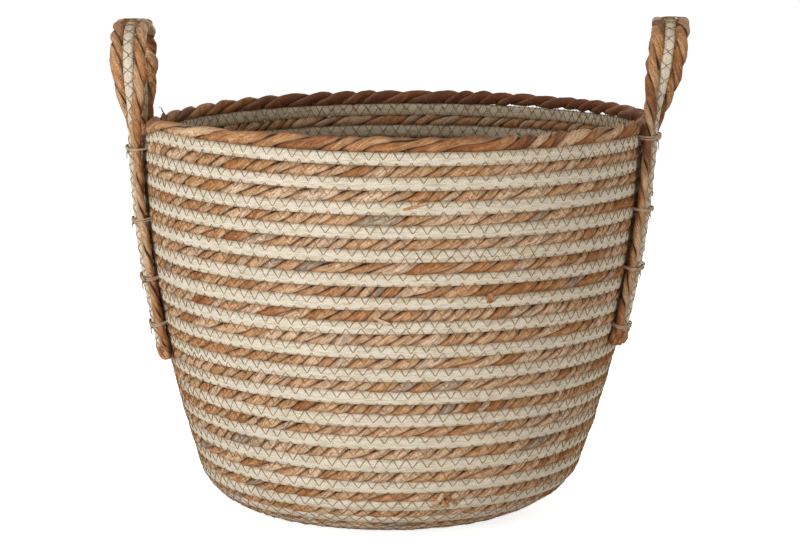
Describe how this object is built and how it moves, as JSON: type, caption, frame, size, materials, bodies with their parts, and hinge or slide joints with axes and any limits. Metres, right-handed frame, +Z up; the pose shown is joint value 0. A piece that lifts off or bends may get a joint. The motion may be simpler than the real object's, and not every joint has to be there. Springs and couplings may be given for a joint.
{
  "type": "storage basket",
  "caption": "Round tapered storage basket coiled from husk rope and cream tape, with a rounded foot, open top and a strap handle tied on at each side.",
  "frame": {"origin": "on the floor, below the middle of the bounding box. The hand-wound body stands a little askew, so the middle of its base lies 8.5 mm to the left of the origin, and that of its rim 3.5 mm", "axes": "+Z up through the open top, +X through the right handle, -Y towards the front, where the rope ends beside the left handle"},
  "size_m": [0.4478, 0.3994, 0.3905],
  "materials": {
    "natural": "dry twisted plant husk, mottled tan to brown, half matt",
    "cream": "ribbed cotton tape, matt cream",
    "twine": "thin twisted twine, matt grey brown"
  },
  "bodies": {
    "root": {"natural_rope": "natural", "cream_tape": "cream", "left_handle_outer_rope": "natural", "left_handle_tape": "cream", "left_handle_inner_rope": "natural", "right_handle_outer_rope": "natural", "right_handle_tape": "cream", "right_handle_inner_rope": "natural", "left_front_tie_1": "twine", "left_front_tie_2": "twine", "left_front_tie_3": "twine", "left_front_tie_4": "twine", "left_back_tie_1": "twine", "left_back_tie_2": "twine", "left_back_tie_3": "twine", "left_back_tie_4": "twine", "right_front_tie_1": "twine", "right_front_tie_2": "twine", "right_front_tie_3": "twine", "right_front_tie_4": "twine", "right_back_tie_1": "twine", "right_back_tie_2": "twine", "right_back_tie_3": "twine", "right_back_tie_4": "twine"}
  },
  "joints": []
}
